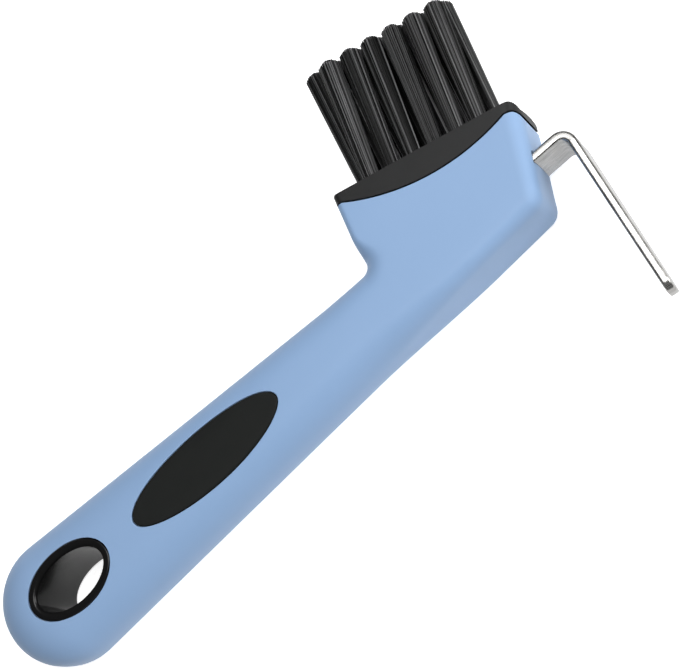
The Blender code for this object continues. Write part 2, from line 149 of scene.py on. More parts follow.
def rounded_corner(before: Vector, corner: Vector, after: Vector, radius: float,
                   steps: int) -> list[Vector]:
    """The arc that rounds a corner between two straight sides.

    Args:
        before: a point on the side that comes in.
        corner: the sharp corner.
        after: a point on the side that goes out.
        radius: the radius of the rounding.
        steps: the number of chords.

    Returns:
        The points of the arc.
    """
    back = (before - corner).normalized()
    on = (after - corner).normalized()
    half = back.angle(on) / 2
    middle = corner + (back + on).normalized() * (radius / math.sin(half))
    first = corner + back * (radius / math.tan(half)) - middle
    last = corner + on * (radius / math.tan(half)) - middle
    start = math.atan2(first.y, first.x)
    return arc(middle, radius, start, start - first.angle_signed(last), steps)


def straight(start: Vector, end: Vector, pitch: float) -> list[Vector]:
    """The inner points of a straight side.

    Args:
        start: where the side begins.
        end: where it ends.
        pitch: the most that two points may lie apart.

    Returns:
        The points between the ends, ends left out.
    """
    steps = max(1, math.ceil((end - start).length / pitch))
    return [start.lerp(end, i / steps) for i in range(1, steps)]


def inward_normals(outline: Sequence[Vector]) -> list[Vector]:
    """The inward normals of a closed outline.

    Args:
        outline: its points, anticlockwise.

    Returns:
        One unit vector for each point.
    """
    normals = []
    for i in range(len(outline)):
        along = (outline[(i + 1) % len(outline)] - outline[i - 1]).normalized()
        normals.append(Vector((-along.y, along.x)))
    return normals


# ---------------------------------------------------------------------------------------------
# Mesh building
# ---------------------------------------------------------------------------------------------


def face_outwards(mesh: bpy.types.Mesh) -> bpy.types.Mesh:
    """Turns the faces of a closed mesh outwards.

    Args:
        mesh: the mesh, changed in place.

    Returns:
        The same mesh.
    """
    bm = bmesh.new()
    bm.from_mesh(mesh)
    bmesh.ops.recalc_face_normals(bm, faces=bm.faces)
    bm.to_mesh(mesh)
    bm.free()
    return mesh


def loft(name: str, rings: Sequence[Sequence[Vector]], ends: Ends = Ends.CAPPED) -> bpy.types.Mesh:
    """A closed mesh through rings of points with equal counts.

    Args:
        name: the name of the mesh.
        rings: the rings, from one end to the other.
        ends: whether the end rings are capped, or joined to each other.

    Returns:
        The mesh, faces outwards.
    """
    count = len(rings[0])
    points = [tuple(point) for ring in rings for point in ring]
    faces: list[tuple[int, ...]] = []
    pairs = len(rings) if ends is Ends.JOINED else len(rings) - 1
    for k in range(pairs):
        low, high = k * count, (k + 1) % len(rings) * count
        for i in range(count):
            j = (i + 1) % count
            faces.append((low + i, low + j, high + j, high + i))
    if ends is Ends.CAPPED:
        faces.append(tuple(range(count)))
        faces.append(tuple(range((len(rings) - 1) * count, len(rings) * count)))
    mesh = bpy.data.meshes.new(name)
    mesh.from_pydata(points, [], faces)
    return face_outwards(mesh)


def prism(name: str, outline: Sequence[Vector], low: float, high: float) -> bpy.types.Mesh:
    """A solid with this side view, from one height to another."""
    return loft(name, [[Vector((p.x, p.y, z)) for p in outline] for z in (low, high)])


def oval(size: Vector, z: float, sides: int, centre: Vector = Vector((0, 0)),
         turn: float = 0.0) -> list[Vector]:
    """A level oval ring.

    Args:
        size: the two half axes.
        z: its height.
        sides: the number of points.
        centre: its middle in the side view.
        turn: the angle of its first axis.

    Returns:
        The points of the ring.
    """
    axis, across = heading(turn), heading(turn + math.pi / 2)
    ring = []
    for i in range(sides):
        angle = math.tau * i / sides
        flat = centre + axis * (size.x * math.cos(angle)) + across * (size.y * math.sin(angle))
        ring.append(Vector((flat.x, flat.y, z)))
    return ring


def grown(size: Vector, amount: float) -> Vector:
    """Half axes, each made larger by the same amount."""
    return Vector((size.x + amount, size.y + amount))


class Shape:
    """A closed mesh being worked on with others."""

    def __init__(self, mesh: bpy.types.Mesh) -> None:
        """Starts from a mesh."""
        self._holder = self._show(mesh)
        self._helpers: list[bpy.types.Object] = []

    @staticmethod
    def _show(mesh: bpy.types.Mesh) -> bpy.types.Object:
        """Puts a mesh in the scene for as long as the work lasts.

        Args:
            mesh: the mesh.

        Returns:
            The object that holds it.
        """
        holder = bpy.data.objects.new("shape", mesh)
        bpy.context.scene.collection.objects.link(holder)
        return holder

    def work(self, operation: Operation, *meshes: bpy.types.Mesh) -> "Shape":
        """Cuts, keeps or joins.

        Args:
            operation: what each mesh does to the shape.
            meshes: closed meshes, used in order.

        Returns:
            The same shape, for another step.
        """
        for mesh in meshes:
            helper = self._show(mesh)
            self._helpers.append(helper)
            step = self._holder.modifiers.new("step", "BOOLEAN")
            step.operation = operation.value
            step.object = helper
            step.solver = "EXACT"
        return self

    def finished(self, name: str) -> bpy.types.Mesh:
        """Ends the work.

        Args:
            name: the name of the finished mesh.

        Returns:
            The mesh, with no modifiers left.
        """
        graph = bpy.context.evaluated_depsgraph_get()
        mesh = bpy.data.meshes.new_from_object(self._holder.evaluated_get(graph))
        mesh.name = name
        for helper in (self._holder, *self._helpers):
            bpy.data.objects.remove(helper)
        return mesh


def shade(mesh: bpy.types.Mesh, degrees: float) -> bpy.types.Mesh:
    """Shades a mesh smooth, except across its sharper edges.

    Args:
        mesh: the mesh, changed in place.
        degrees: the angle past which an edge is sharp.

    Returns:
        The same mesh.
    """
    mesh.shade_smooth()
    mesh.set_sharp_from_angle(angle=math.radians(degrees))
    return mesh


# ---------------------------------------------------------------------------------------------
# Node trees
# ---------------------------------------------------------------------------------------------


class Wiring:
    """Adds nodes to a tree one after another and links them."""

    def __init__(self, tree: bpy.types.NodeTree) -> None:
        """Starts on a tree."""
        self.tree = tree

    def add(self, kind: str, inputs: dict | None = None, **settings: object) -> bpy.types.Node:
        """Adds a node.

        Args:
            kind: the node's type.
            inputs: a value or another node's socket for each named or numbered input.
            settings: the node's own properties.

        Returns:
            The node.
        """
        node = self.tree.nodes.new(kind)
        for key, value in settings.items():
            setattr(node, key, value)
        for key, value in (inputs or {}).items():
            if isinstance(value, bpy.types.NodeSocket):
                self.tree.links.new(value, node.inputs[key])
            else:
                node.inputs[key].default_value = value
        return node

    def sum(self, operation: str, *terms: object) -> bpy.types.NodeSocket:
        """The result of a Math node."""
        node = self.add("ShaderNodeMath", dict(enumerate(terms)), operation=operation)
        return node.outputs[0]

    def vector(self, operation: str, *terms: object) -> bpy.types.NodeSocket:
        """The vector result of a Vector Math node."""
        node = self.add("ShaderNodeVectorMath", dict(enumerate(terms)), operation=operation)
        return node.outputs[0]

    def scaled(self, vector: object, amount: object) -> bpy.types.NodeSocket:
        """A vector made longer or shorter."""
        node = self.add("ShaderNodeVectorMath", {0: vector, "Scale": amount}, operation="SCALE")
        return node.outputs[0]

    def combine(self, x: object, y: object, z: object) -> bpy.types.NodeSocket:
        """A vector from three numbers."""
        return self.add("ShaderNodeCombineXYZ", {"X": x, "Y": y, "Z": z}).outputs[0]

    def noise(self, place: object, size: float, detail: float, roughness: float) -> bpy.types.NodeSocket:
        """A noise pattern.

        Args:
            place: the coordinates that it is laid out on.
            size: the width of its largest spots.
            detail: how many finer layers it has.
            roughness: how strong each finer layer is.

        Returns:
            The pattern's value.
        """
        return self.add("ShaderNodeTexNoise", {
            "Vector": place, "Scale": 1.0 / size, "Detail": detail, "Roughness": roughness,
        }).outputs["Fac"]

    def ranged(self, value: object, low: float = 0.0, high: float = 1.0) -> bpy.types.NodeSocket:
        """Spreads the useful middle of a noise pattern over a range.

        Args:
            value: the pattern's value.
            low: what the pattern's low spots become.
            high: what its high spots become.

        Returns:
            The new value.
        """
        return self.add("ShaderNodeMapRange", {
            "Value": value, "From Min": NOISE_LOW, "From Max": NOISE_HIGH, "To Min": low, "To Max": high,
        }).outputs["Result"]

    def bump(self, height: object, distance: float, **under: object) -> bpy.types.NodeSocket:
        """The normals of a raised pattern.

        Args:
            height: the pattern's value.
            distance: how high it stands.
            under: the normals of a pattern that it is laid over, where there is one.

        Returns:
            The normals.
        """
        return self.add("ShaderNodeBump", {
            "Height": height, "Strength": 1.0, "Distance": distance, **under,
        }).outputs["Normal"]


@dataclass(frozen=True)
class Finish:
    """A surface finish whose mottle, uneven gloss and grain come from procedural nodes.

    The pattern is laid out on the piece itself, and mottle and grain are the widths of its spots. Where
    mix_by names an attribute of the mesh, that attribute weighs the two colours too; on the bristles it
    paints a glint, the second colour being a painted highlight on some filaments.
    """

    name: str
    slot: str
    colour: Colour
    second_colour: Colour
    roughness: float
    roughness_spread: float
    grain: float
    grain_height: float
    mottle: float = 0.020
    specular: float = 0.5
    metallic: float = 0.0
    sheen: float = 0.0
    sheen_roughness: float = 0.5
    stretch: tuple[float, float, float] = (1.0, 1.0, 1.0)
    turn: float = 0.0
    on_uv: bool = False
    mix_by: str = ""
    wave_height: float = 0.0

    def material(self) -> bpy.types.Material:
        """The finish as a material.

        Returns:
            The material, made the first time and found again later.
        """
        made = bpy.data.materials.get(self.name)
        if made:
            return made
        made = bpy.data.materials.new(self.name)
        made.use_nodes = True
        made.diffuse_color = (*self.colour, 1.0)
        made.node_tree.nodes.clear()
        self._wire(Wiring(made.node_tree))
        return made

    def _wire(self, wiring: Wiring) -> None:
        """Wires the mottled colour, the uneven gloss and the grain.

        Args:
            wiring: the material's empty node tree.
        """
        contrast, mottled_share = 3.0, 0.6
        place = wiring.add("ShaderNodeTexCoord").outputs["UV" if self.on_uv else "Object"]
        turned = wiring.add("ShaderNodeMapping", {"Vector": place, "Rotation": (0.0, 0.0, self.turn)})
        laid = wiring.add("ShaderNodeMapping", {
            "Vector": turned.outputs["Vector"], "Scale": self.stretch,
        }).outputs["Vector"]
        clouds = wiring.noise(laid, self.mottle, detail=4.0, roughness=0.55)
        grain = wiring.noise(laid, self.grain, detail=3.0, roughness=0.6)
        spread = wiring.ranged(clouds)
        # Painted glint: the named attribute pushes some filaments towards the second colour, a painted
        # highlight.
        if self.mix_by:
            marked = wiring.add("ShaderNodeAttribute", attribute_name=self.mix_by).outputs["Fac"]
            mottled = wiring.sum("MULTIPLY_ADD", spread, mottled_share, 1.0 - mottled_share)
            spread = wiring.sum("MULTIPLY", wiring.sum("POWER", marked, contrast), mottled)
        colour = wiring.add("ShaderNodeMix", {
            "Factor": spread, "A": (*self.colour, 1.0), "B": (*self.second_colour, 1.0),
        }, data_type="RGBA").outputs["Result"]
        uneven = wiring.sum("MULTIPLY_ADD", grain, 0.5, wiring.sum("MULTIPLY", clouds, 0.5))
        gloss = wiring.ranged(uneven, self.roughness - self.roughness_spread,
                              self.roughness + self.roughness_spread)
        bump = wiring.bump(grain, self.grain_height)
        if self.wave_height:
            bump = wiring.bump(clouds, self.wave_height, Normal=bump)
        shader = wiring.add("ShaderNodeBsdfPrincipled", {
            "Base Color": colour,
            "Roughness": gloss,
            "Normal": bump,
            "Metallic": self.metallic,
            "Specular IOR Level": self.specular,
            "Sheen Weight": self.sheen,
            "Sheen Roughness": self.sheen_roughness,
        })
        wiring.add("ShaderNodeOutputMaterial", {"Surface": shader.outputs["BSDF"]})


SEAT_TURN = math.radians(14.0)
# The attribute that paints a glint on some filaments: a highlight laid into their colour.
GLINT = "filament_glint"

SOFT_BLUE = Finish(
    "soft_touch_blue", "soft_blue", (0.285, 0.440, 0.690), (0.297, 0.452, 0.705),
    roughness=0.50, roughness_spread=0.05, grain=0.00022, grain_height=0.000006, mottle=0.030,
    specular=0.28, sheen=0.22, sheen_roughness=0.35,
)
BLOCK_BLACK = Finish(
    "moulded_black", "core_black", (0.0090, 0.0093, 0.0098), (0.0130, 0.0132, 0.0136),
    roughness=0.46, roughness_spread=0.06, grain=0.00030, grain_height=0.000010, mottle=0.008,
    specular=0.30,
)
PAD_BLACK = Finish(
    "pad_rubber", "pad_black", (0.0085, 0.0098, 0.0092), (0.0110, 0.0122, 0.0115),
    roughness=0.72, roughness_spread=0.06, grain=0.00035, grain_height=0.000016, mottle=0.006,
    specular=0.22,
)
EYELET_BLACK = Finish(
    "eyelet_gloss", "eyelet_black", (0.0050, 0.0050, 0.0052), (0.0070, 0.0070, 0.0072),
    roughness=0.20, roughness_spread=0.05, grain=0.00060, grain_height=0.000003, mottle=0.005,
    specular=0.24,
)
# The bristles' grey second colour is a painted glint: highlights laid into the colour of some filaments.
NYLON_BLACK = Finish(
    "bristle_nylon", "nylon_black", (0.0015, 0.0015, 0.0016), (0.270, 0.270, 0.275),
    roughness=0.20, roughness_spread=0.05, grain=0.00045, grain_height=0.000004, mottle=0.0030,
    specular=0.22, stretch=(1.0, 0.08, 1.0), turn=SEAT_TURN, mix_by=GLINT,
)
BRIGHT_STEEL = Finish(
    "bright_steel", "pick_steel", (0.31, 0.305, 0.295), (0.54, 0.53, 0.515),
    roughness=0.24, roughness_spread=0.08, grain=0.00016, grain_height=0.0000022, mottle=0.0014,
    metallic=1.0, stretch=(0.25, 1.0, 1.0), on_uv=True, wave_height=0.00002,
)
ANCHOR_BRASS = Finish(
    "anchor_brass_wire", "anchor_wire", (0.66, 0.50, 0.26), (0.74, 0.60, 0.34),
    roughness=0.34, roughness_spread=0.08, grain=0.00012, grain_height=0.000003, mottle=0.001,
    metallic=1.0,
)


# ---------------------------------------------------------------------------------------------
# The object's own pieces
# ---------------------------------------------------------------------------------------------


@dataclass(frozen=True)
class Bench:
    """Where the side coordinates lie in the frame, and how a piece joins the scene."""

    place: Matrix

    def finish(self, name: str, mesh: bpy.types.Mesh, finish: Finish, *nodes: str) -> bpy.types.Object:
        """Places a mesh in the frame, dresses it and hides the frame's nodes that it replaces.

        Args:
            name: the piece's name.
            mesh: its mesh, in side coordinates.
            finish: its finish.
            nodes: the frame's nodes that it replaces.

        Returns:
            The piece.
        """
        mesh.transform(self.place)
        mesh.materials.clear()
        mesh.materials.append(finish.material())
        piece = bpy.data.objects.new(name, mesh)
        bpy.context.scene.collection.objects.link(piece)
        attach(piece, BODY)
        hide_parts(*nodes)
        LOG.info("%s: %d faces", name, len(mesh.polygons))
        return piece


@dataclass(frozen=True)
class Seat:
    """The flat top of the head, where the tufts stand."""

    rear: Pair = (0.1121, 0.0305)
    tilt: float = math.radians(-14.0)
    length: float = 0.0512
    front_end: float = 0.05092
    front_lean: float = math.radians(24.0)
    front_round: float = 0.0021
    rear_round: float = 0.0007
    front_steps: int = 12
    rear_steps: int = 8

    def point(self, along: float, up: float) -> Vector:
        """Side coordinates of a point given forward along the seat and up from it."""
        return Vector(self.rear) + heading(self.tilt) * along + heading(self.tilt + math.pi / 2) * up

    def block(self, low: float, high: float, up_low: float, up_high: float,
              half: float) -> bpy.types.Mesh:
        """A block aligned with the seat.

        Args:
            low: its rear end along the seat.
            high: its front end.
            up_low: its foot, up from the seat.
            up_high: its top.
            half: half its width.

        Returns:
            The block's mesh.
        """
        corners = (low, up_low), (high, up_low), (high, up_high), (low, up_high)
        return prism("block", [self.point(*corner) for corner in corners], -half, half)

    def cutter(self) -> bpy.types.Mesh:
        """Everything above the seat.

        Returns:
            The space as one block, which eases both ends of the seat.
        """
        beyond, above = 0.090, 0.060
        corner = self.point(self.front_end, 0)
        foot = corner - heading(math.pi / 2 - self.front_lean)
        below, rear_top = self.point(0, -1), self.point(0, 0)
        front = rounded_corner(rear_top, corner, foot, self.front_round, self.front_steps)
        rear = rounded_corner(below, rear_top, corner, self.rear_round, self.rear_steps)
        outline = [self.point(-beyond, -self.rear_round), *rear, *front]
        outline.append(front[-1] + heading(self.tilt) * beyond)
        outline += [self.point(beyond, above), self.point(-beyond, above)]
        return prism("above_seat", outline, -PAST, PAST)

    def frame_at(self, along: float, z: float, lean: float) -> Matrix:
        """A tuft's own axes: X forward along the seat and Z up its bristles.

        Args:
            along: the tuft's place along the seat.
            z: its place through the thickness.
            lean: how far it leans forward.

        Returns:
            The matrix to side coordinates.
        """
        foot = self.point(along, 0)
        forward, up = heading(self.tilt), heading(self.tilt + math.pi / 2)
        turn = Matrix(((forward.x, 0, up.x), (forward.y, 0, up.y), (0, -1, 0))).to_4x4()
        return Matrix.Translation((foot.x, foot.y, z)) @ turn @ Matrix.Rotation(lean, 4, "Y")


@dataclass
class BodyForm:
    """The outer form that the handle and the brush block share."""

    seat: Seat
    half_thickness: float = 0.0110
    tail_centre: Pair = (-0.0080, 0.0001)
    tail_radius: float = 0.0168
    neck: Pair = (0.1075, 0.0111)
    neck_half: float = 0.0104
    neck_fillet: float = 0.0024
    bottom_corner: Pair = (0.1506, -0.0062)
    corner_radius: float = 0.0046
    front_lean: float = math.radians(24.0)
    front_length: float = 0.0450
    spare_above_seat: float = 0.0120
    rear_flare: float = 0.00015
    grip_reach_share: float = 0.80
    grip_depth: float = 0.0104
    head_reach: float = 0.0040
    head_depth: float = 0.0050
    rear_reach: float = 0.0022
    rear_depth: float = 0.0034
    rear_rise: Pair = (0.0005, 0.0080)
    rear_fade: Pair = (0.006, 0.020)
    front_crown: float = 0.0006
    crown_span: Pair = (0.003, 0.016)
    crown_facing: float = 0.7
    change: Pair = (0.090, 0.132)
    grip_fullness: float = 2.3
    head_fullness: float = 2.5
    pitch: float = 0.0012
    round_steps: int = 14
    side_steps: int = 4
    corner_steps: int = 14
    hidden_steps: int = 4
    fillet_steps: int = 12
    tail_steps: int = 60
    overlap: float = 0.0004
    _tree: BVHTree | None = field(default=None, init=False, repr=False)

    def corners(self) -> tuple[Vector, Vector, Vector, Vector]:
        """The sharp corners of the side view.

        Returns:
            The neck, the rear and front tops of the head past the seat, and the bottom corner.
        """
        neck, bottom = Vector(self.neck), Vector(self.bottom_corner)
        front_top = bottom + heading(math.pi / 2 - self.front_lean) * self.front_length
        rise = (neck.y - self.seat.rear[1]) / math.cos(self.seat.tilt)
        flare = self.rear_flare * (1 - self.spare_above_seat / rise)
        rear_top = self.seat.point(-flare, self.spare_above_seat)
        return self.seat.point(0, rise), rear_top, front_top, bottom

    def _tangent(self, outside: Vector, side: int) -> Vector:
        """Where a straight line from a point touches the tail's circle.

        Args:
            outside: the point.
            side: 1 for the brush's side, -1 for the other.

        Returns:
            The point on the circle.
        """
        centre = Vector(self.tail_centre)
        away = outside - centre
        angle = math.atan2(away.y, away.x) + side * math.acos(self.tail_radius / away.length)
        return centre + heading(angle) * self.tail_radius

    def outline(self) -> list[Vector]:
        """The side view.

        Returns:
            Its points, anticlockwise from the tail's lower side.
        """
        neck, rear_top, front_top, bottom = self.corners()
        tail_top, tail_low = self._tangent(neck, 1), self._tangent(bottom, -1)
        radius, hidden = self.corner_radius, self.hidden_steps
        front_corner = rounded_corner(tail_low, bottom, front_top, radius, self.corner_steps)
        front_shoulder = rounded_corner(bottom, front_top, rear_top, radius, hidden)
        rear_shoulder = rounded_corner(front_top, rear_top, neck, radius, hidden)
        fillet = rounded_corner(rear_top, neck, tail_top, self.neck_fillet, self.fillet_steps)
        centre = Vector(self.tail_centre)
        start = math.atan2(tail_top.y - centre.y, tail_top.x - centre.x)
        end = math.atan2(tail_low.y - centre.y, tail_low.x - centre.x) + math.tau
        points = straight(tail_low, front_corner[0], self.pitch) + front_corner
        points += straight(front_corner[-1], front_shoulder[0], self.pitch) + front_shoulder
        points += rear_shoulder + straight(rear_shoulder[-1], fillet[0], self.pitch) + fillet
        points += straight(fillet[-1], tail_top, self.pitch)
        return points + arc(centre, self.tail_radius, start, end, self.tail_steps)

    def _rounding(self, point: Vector) -> Pair:
        """The size of the edge rounding at a point of the side view.

        Args:
            point: the point.

        Returns:
            Its reach across the side face, and its depth.
        """
        tail_x, neck_x = self.tail_centre[0], self.neck[0]
        along = min(max((point.x - tail_x) / (neck_x - tail_x), 0.0), 1.0)
        reach = self.grip_reach_share * (self.tail_radius + (self.neck_half - self.tail_radius) * along)
        t = smooth_step(point.x, *self.change)
        reach += (self.head_reach - reach) * t
        depth = self.grip_depth + (self.head_depth - self.grip_depth) * t
        rear_foot = self.corners()[0]
        above_neck = (point - rear_foot).dot(heading(self.seat.tilt + math.pi / 2))
        forward = (point - rear_foot).dot(heading(self.seat.tilt))
        t = smooth_step(above_neck, *self.rear_rise) * (1 - smooth_step(forward, *self.rear_fade))
        return reach + (self.rear_reach - reach) * t, depth + (self.rear_depth - depth) * t

    def _fullness(self, point: Vector) -> float:
        """How square the edge rounding is at a point: 2 for round, more for fuller."""
        t = smooth_step(point.x, *self.change)
        return self.grip_fullness + (self.head_fullness - self.grip_fullness) * t

    def _crown(self, point: Vector, normal: Vector) -> float:
        """How strongly a point of the side view belongs to the crowned front face.

        Args:
            point: the point.
            normal: its inward normal.

        Returns:
            A share from 0 to 1.
        """
        up_front = (point - Vector(self.bottom_corner)).dot(heading(math.pi / 2 - self.front_lean))
        facing = max(-normal.dot(heading(-self.front_lean)), 0.0)
        return smooth_step(up_front, *self.crown_span) * smooth_step(facing, self.crown_facing, 1.0)

    def mesh(self) -> bpy.types.Mesh:
        """The whole form, past the seat.

        Returns:
            One solid with full, rounded edges and a crowned front face.
        """
        outline = self.outline()
        normals = inward_normals(outline)
        sizes = [self._rounding(point) for point in outline]
        powers = [2.0 / self._fullness(point) for point in outline]
        crowns = [self._crown(point, normal) for point, normal in zip(outline, normals)]
        half, side_pitch = self.half_thickness, self.side_steps - 0.5
        rings = []
        for step in range(1 - self.side_steps, self.round_steps + 2):
            turn = math.pi / 2 * min(max(step / self.round_steps, 0.0), 1.0)
            extra = self.overlap if step > self.round_steps else 0.0
            rise = (step + side_pitch) / side_pitch if step < 0 else 1.0
            ring = []
            for point, normal, size, power, crown in zip(outline, normals, sizes, powers, crowns):
                reach, depth = size
                inward = reach * (1 - math.cos(turn) ** power) if turn < math.pi / 2 else reach
                z = (half - depth) * rise + depth * math.sin(turn) ** power
                inward -= crown * (self.front_crown * (1 - (z / half) ** 2))
                flat = point + normal * (inward + extra)
                ring.append(Vector((flat.x, flat.y, z)))
            rings.append(ring)
        lower = [[Vector((p.x, p.y, -p.z)) for p in ring] for ring in reversed(rings)]
        return loft("body_form", lower + rings)

    def height(self, point: Vector) -> float:
        """The height of the rounded upper face.

        Args:
            point: a point of the side view.

        Returns:
            The face's height there.
        """
        if self._tree is None:
            mesh = self.mesh()
            points, faces = [v.co for v in mesh.vertices], [p.vertices for p in mesh.polygons]
            self._tree = BVHTree.FromPolygons(points, faces)
        hit = self._tree.ray_cast(Vector((point.x, point.y, PAST)), Vector((0, 0, -1)))[0]
        return hit.z if hit else self.half_thickness


@dataclass
class SteelPick:
    """A flat strip, bent once, with its tang held in the core and a rounded, narrowed tip."""

    thickness: float = 0.0023
    width: float = 0.0150
    tang_top: float = 0.0059
    tang_start: float = 0.1270
    blade_front: float = 0.1669
    bend: float = math.radians(97.2)
    blade_length: float = 0.0476
    inside_radius: float = 0.0018
    tip_width: float = 0.0078
    tip_round: float = 0.0030
    arris: float = 0.00065
    key_hole_radius: float = 0.0030
    key_hole_x: float = 0.1360
    bend_steps: int = 24
    arris_steps: int = 4
    tip_steps: int = 16
    tang_pitch: float = 0.0020
    blade_pitch: float = 0.0015
    tip_thinning: float = 0.45
    slot_reach: float = 0.0040
    key_sides: int = 40

    def _path(self) -> list[tuple[Vector, Vector, float]]:
        """The middle line of the strip.

        Returns:
            Each point with the strip's direction and half width there, from the tang to the tip.
        """
        middle = self.thickness / 2
        radius = self.inside_radius + middle
        leg = radius * math.tan(self.bend / 2)
        down = heading(-self.bend)
        lean = math.tan(self.bend - math.pi / 2)
        corner = Vector((self.blade_front - middle * (1 + lean), self.tang_top - middle))
        centre = corner + Vector((-leg, -radius))
        forward, half = Vector((1, 0)), self.width / 2
        start = Vector((self.tang_start, corner.y))
        bend_start = corner - forward * leg
        path = [(start, forward, half)]
        path += [(point, forward, half) for point in straight(start, bend_start, self.tang_pitch)]
        for i in range(self.bend_steps + 1):
            angle = math.pi / 2 - self.bend * i / self.bend_steps
            path.append((centre + heading(angle) * radius, heading(angle - math.pi / 2), half))
        blade_start = path[-1][0]
        length = (corner + down * (self.blade_length - middle) - blade_start).length
        count = int((length - self.tip_round) / self.blade_pitch)
        distances = [length - self.blade_pitch * i for i in range(1, count)]
        distances += [self.tip_round * (1 - math.sin(math.pi / 2 * i / self.tip_steps))
                      for i in range(self.tip_steps + 1)]
        for distance in distances:
            point = blade_start + down * (length - distance)
            path.append((point, down, self._half_width(distance, length)))
        return path

    def _half_width(self, distance: float, length: float) -> float:
        """Half the blade's width.

        Args:
            distance: how far before the tip.
            length: the length of the blade.

        Returns:
            Half the width, narrowing to the rounded tip.
        """
        half = (self.tip_width + (self.width - self.tip_width) * min(1.0, distance / length)) / 2
        if distance < self.tip_round:
            cut = self.tip_round - distance
            half -= self.tip_round - math.sqrt(max(self.tip_round**2 - cut**2, 0.0))
        return half

    def _section(self, half: float, scale: float) -> list[Pair]:
        """A rounded rectangle across the strip.

        Args:
            half: half the strip's width here.
            scale: the share of its thickness here.

        Returns:
            Its points as (across the thickness, across the width).
        """
        arris = self.arris * scale
        thick, wide = self.thickness / 2 * scale - arris, half - self.arris
        points = []
        for corner, (side, end) in enumerate(((1, 1), (-1, 1), (-1, -1), (1, -1))):
            for i in range(self.arris_steps + 1):
                angle = math.pi / 2 * (corner + i / self.arris_steps)
                points.append((side * thick + arris * math.cos(angle),
                               end * wide + self.arris * math.sin(angle)))
        return points

    def mesh(self) -> bpy.types.Mesh:
        """The strip with its arrises.

        Returns:
            The mesh, with the hole through the tang and a UV map along its length.
        """
        path = self._path()
        rings, travelled = [], [0.0]
        tip = path[-1][0]
        for i, (point, along, half) in enumerate(path):
            left = (tip - point).length
            scale = 1.0
            if i > len(path) // 2 and left < self.arris:
                thin = self.tip_thinning
                scale = 1 - thin + thin * math.sqrt(max(1 - (1 - left / self.arris) ** 2, 0.0))
            across = Vector((-along.y, along.x))
            ring = []
            for out, wide in self._section(half, scale):
                flat = point + across * out
                ring.append(Vector((flat.x, flat.y, wide)))
            rings.append(ring)
            if i:
                travelled.append(travelled[-1] + (point - path[i - 1][0]).length)
        strip = loft("steel_pick", rings)
        self._lay_uv(strip, travelled, len(rings[0]))
        return Shape(strip).work(Operation.CUT, self._key(self.key_hole_radius)).finished("steel_pick")

    @staticmethod
    def _lay_uv(strip: bpy.types.Mesh, travelled: Sequence[float], count: int) -> None:
        """Lays a UV map in metres: along the strip, and across it.

        Args:
            strip: the mesh.
            travelled: how far along the strip each of its rings lies.
            count: the number of points in a ring.
        """
        layer = strip.uv_layers.new(name="along_strip")
        for loop in strip.loops:
            ring = min(loop.vertex_index // count, len(travelled) - 1)
            layer.data[loop.index].uv = (travelled[ring], strip.vertices[loop.vertex_index].co.z)

    def _key(self, radius: float) -> bpy.types.Mesh:
        """The round pin across the tang where the core's plastic passes through the steel.

        Args:
            radius: its radius.

        Returns:
            The pin, longer than the tang is thick.
        """
        circle = [heading(math.tau * i / self.key_sides) * radius for i in range(self.key_sides)]
        middle = self.tang_top - self.thickness / 2
        levels = middle - 2 * self.thickness, middle + 2 * self.thickness
        return loft("key", [[Vector((self.key_hole_x + p.x, y, p.y)) for p in circle] for y in levels])

    def slot(self, grow: float) -> bpy.types.Mesh:
        """The space that the tang takes in the core and the handle.

        Args:
            grow: the gap left round it.

        Returns:
            The space, open at the front.
        """
        low, high = self.tang_top - self.thickness - grow, self.tang_top + grow
        rear, front = self.tang_start - grow, self.blade_front + self.slot_reach
        corners = (rear, low), (front, low), (front, high), (rear, high)
        half = self.width / 2 + grow
        return prism("tang_slot", [Vector(corner) for corner in corners], -half, half)

    def core_slot(self) -> bpy.types.Mesh:
        """The slot in the core, with the pin that keys through the tang left standing."""
        pin = self._key(self.key_hole_radius - GAP)
        return Shape(self.slot(GAP)).work(Operation.CUT, pin).finished("slot")

    def build(self, bench: Bench) -> None:
        """Builds and dresses the pick."""
        bench.finish("bent_steel_pick", shade(self.mesh(), 32), BRIGHT_STEEL, "steel_pick")


@dataclass(frozen=True)
class Row:
    """One row of tufts along the seat."""

    name: str
    side: int
    count: int
    height: float
    rear_lean: float
    front_lean: float

    def lean(self, i: int) -> float:
        """How far the tuft with this index leans forward."""
        return math.radians(self.rear_lean + (self.front_lean - self.rear_lean) * i / (self.count - 1))


